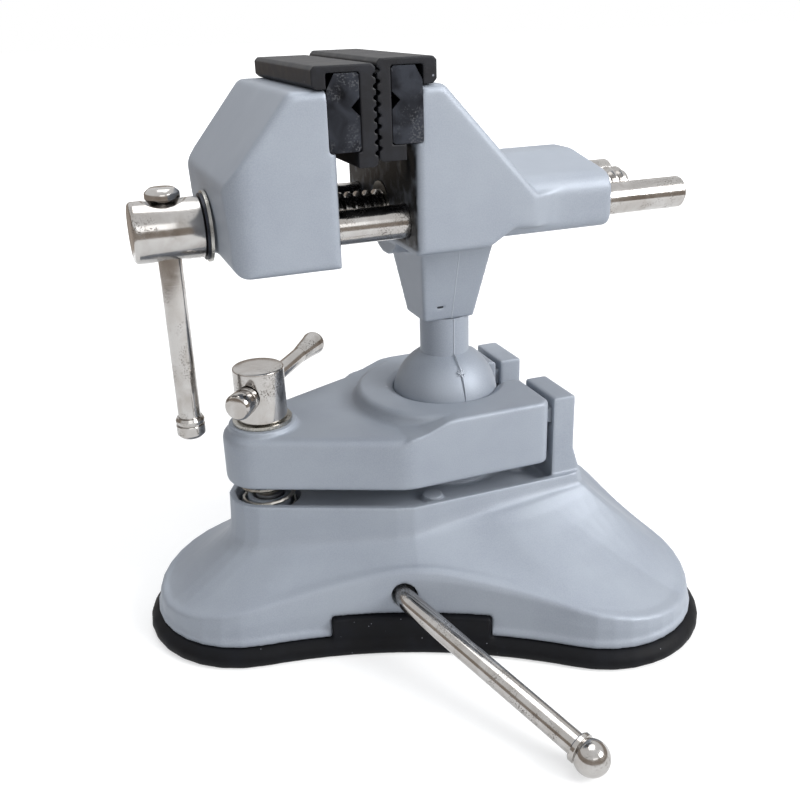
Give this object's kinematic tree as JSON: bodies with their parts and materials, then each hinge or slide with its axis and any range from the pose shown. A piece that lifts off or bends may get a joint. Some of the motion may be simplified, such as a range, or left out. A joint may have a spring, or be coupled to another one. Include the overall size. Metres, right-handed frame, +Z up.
{
  "type": "suction base vise",
  "caption": "Small bench vise on a ball joint, with a three-lobed suction base, a clamp plate, rubber jaw pads, a lever and sliding handle bars.",
  "frame": {"origin": "on the underside of the rubber pad, below the middle of the fixed jaw's front face", "axes": "+Z up, +X along the vise screw from its head towards the guide rods' free ends, -Y the side that the suction lever comes out of"},
  "size_m": [0.184, 0.2005, 0.1814],
  "materials": {
    "casting": "satin blue-grey paint on a casting",
    "pad_rubber": "matt black rubber",
    "jaw_rubber": "moulded dark rubber",
    "plated_steel": "nickel-plated, bright",
    "zinc_steel": "zinc-plated",
    "dark_steel": "blackened steel"
  },
  "bodies": {
    "base": {"base_casting": "casting", "suction_pad": "pad_rubber", "clamp_nut": "zinc_steel", "clamp_spring": "zinc_steel"},
    "lift": {"pad_lift_plate": "zinc_steel", "pad_lift_yoke": "zinc_steel"},
    "lever": {"suction_lever": "plated_steel", "lever_cam": "dark_steel", "lever_ball": "plated_steel", "lever_clip": "dark_steel"},
    "plate": {"clamp_plate": "casting"},
    "washer": {"clamp_washer": "zinc_steel"},
    "clamp": {"clamp_screw": "plated_steel"},
    "clamp_handle": {"clamp_bar": "plated_steel", "clamp_bar_knob_near": "plated_steel", "clamp_bar_knob_far": "plated_steel"},
    "ball": {"ball_stem": "casting"},
    "head": {"stem_pin": "dark_steel", "fixed_jaw": "casting", "fixed_jaw_plate": "dark_steel", "fixed_plate_screws": "dark_steel", "fixed_jaw_pad": "jaw_rubber", "screw_nut": "zinc_steel"},
    "slide_jaw": {"moving_jaw": "casting", "moving_jaw_plate": "dark_steel", "moving_plate_screws": "dark_steel", "moving_jaw_pad": "jaw_rubber", "guide_rod_near": "plated_steel", "guide_rod_far": "plated_steel", "rod_pins": "dark_steel", "thrust_washer": "zinc_steel", "spring_washer": "dark_steel", "screw_clip": "dark_steel"},
    "screw": {"vise_screw": "plated_steel"},
    "handle": {"handle_bar": "plated_steel", "handle_knob_top": "plated_steel", "handle_knob_bottom": "plated_steel"}
  },
  "joints": [
    {"name": "suction_lever_turn", "type": "hinge", "parent": "base", "child": "lever", "pos_m": [0.0069, 0, 0.0198], "axis": [-0.398, -0.9174, 0], "range_deg": [0, 165]},
    {"name": "pad_lift", "type": "slide", "parent": "base", "child": "lift", "axis": [0, 0, 1], "range_m": [0, 0.0031]},
    {"name": "clamp_travel", "type": "slide", "parent": "base", "child": "washer", "axis": [0, 0, 1], "range_m": [0, 0.0004]},
    {"name": "clamp_turn", "type": "hinge", "parent": "washer", "child": "clamp", "pos_m": [-0.0435, 0, 0.0815], "axis": [0, 0, 1], "range_deg": [0, 97]},
    {"name": "plate_lift", "type": "hinge", "parent": "base", "child": "plate", "pos_m": [0.049, 0, 0.066], "axis": [0, 1, 0], "range_deg": [0, 0.25]},
    {"name": "clamp_bar_slide", "type": "slide", "parent": "clamp", "child": "clamp_handle", "axis": [-0.6184, -0.7859, 0], "range_m": [0, 0.0235]},
    {"name": "ball_tilt", "type": "hinge", "parent": "base", "child": "ball", "pos_m": [0.0214, 0, 0.069], "axis": [0, 1, 0], "range_deg": [0, 40]},
    {"name": "head_turn", "type": "hinge", "parent": "ball", "child": "head", "pos_m": [0.0214, 0, 0.1], "axis": [0, 0, 1], "continuous": true},
    {"name": "jaw_slide", "type": "slide", "parent": "head", "child": "slide_jaw", "axis": [-1, 0, 0], "range_m": [0, 0.055]},
    {"name": "screw_turn", "type": "hinge", "parent": "slide_jaw", "child": "screw", "pos_m": [-0.066, 0, 0.1352], "axis": [-1, 0, 0], "range_deg": [0, 6600.1]},
    {"name": "handle_slide", "type": "slide", "parent": "screw", "child": "handle", "axis": [0, 0, 1], "range_m": [0, 0.05]}
  ],
  "couplings": [
    {"joint": "pad_lift", "follows": "suction_lever_turn", "m_per_rad": 0.00104},
    {"joint": "clamp_turn", "follows": "clamp_travel", "rad_per_m": 4188.8},
    {"joint": "plate_lift", "follows": "clamp_travel", "rad_per_m": 9.4},
    {"joint": "screw_turn", "follows": "jaw_slide", "rad_per_m": 2094.4}
  ]
}
